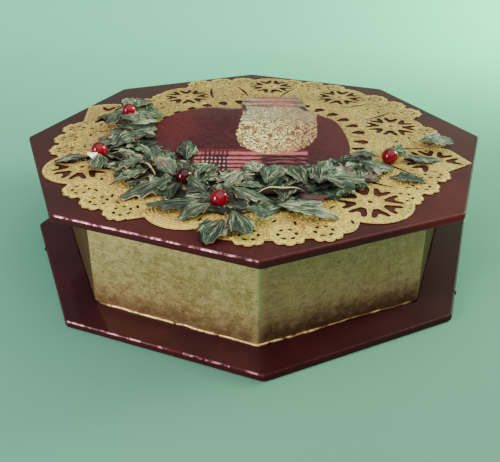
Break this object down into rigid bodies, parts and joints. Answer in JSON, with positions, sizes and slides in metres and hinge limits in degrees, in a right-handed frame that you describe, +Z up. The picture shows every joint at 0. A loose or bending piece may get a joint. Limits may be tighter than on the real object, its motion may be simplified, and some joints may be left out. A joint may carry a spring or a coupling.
{
  "type": "christmas box",
  "caption": "Octagonal lidded keepsake box with a set-in gold tray, wide lacquered boards, and a lid dressed with paper lace, a printed card, curled holly leaves and bead berries.",
  "frame": {"origin": "middle of the base board's underside", "axes": "+Z up through the middle of the lid, and -Y towards the lid corner that is nearest in the picture"},
  "size_m": [0.2354, 0.2354, 0.0637],
  "materials": {
    "burgundy_lacquer": "gloss",
    "gold_paint": "satin",
    "gold_paper": "satin",
    "printed_card": "satin",
    "printed_holly": "satin",
    "red_bead": "gloss"
  },
  "bodies": {
    "root": {"base_board": "burgundy_lacquer", "tray": "gold_paint", "lid": "burgundy_lacquer", "doily": "gold_paper", "picture_card": "printed_card", "garland_card": "printed_holly", "leaf_01": "printed_holly", "leaf_02": "printed_holly", "leaf_03": "printed_holly", "leaf_04": "printed_holly", "leaf_05": "printed_holly", "leaf_06": "printed_holly", "leaf_07": "printed_holly", "leaf_08": "printed_holly", "leaf_09": "printed_holly", "leaf_10": "printed_holly", "leaf_11": "printed_holly", "leaf_12": "printed_holly", "leaf_13": "printed_holly", "leaf_14": "printed_holly", "leaf_15": "printed_holly", "leaf_16": "printed_holly", "leaf_17": "printed_holly", "leaf_18": "printed_holly", "leaf_19": "printed_holly", "leaf_20": "printed_holly", "leaf_21": "printed_holly", "leaf_22": "printed_holly", "leaf_23": "printed_holly", "leaf_24": "printed_holly", "leaf_25": "printed_holly", "leaf_26": "printed_holly", "leaf_27": "printed_holly", "leaf_28": "printed_holly", "leaf_29": "printed_holly", "leaf_30": "printed_holly", "leaf_31": "printed_holly", "leaf_32": "printed_holly", "leaf_33": "printed_holly", "leaf_34": "printed_holly", "leaf_35": "printed_holly", "leaf_36": "printed_holly", "leaf_37": "printed_holly", "leaf_38": "printed_holly", "leaf_39": "printed_holly", "leaf_40": "printed_holly", "leaf_41": "printed_holly", "leaf_42": "printed_holly", "leaf_43": "printed_holly", "leaf_44": "printed_holly", "leaf_45": "printed_holly", "leaf_46": "printed_holly", "leaf_47": "printed_holly", "berry_1": "red_bead", "berry_2": "red_bead", "berry_3": "red_bead", "berry_4": "red_bead", "berry_5": "red_bead"}
  },
  "joints": []
}
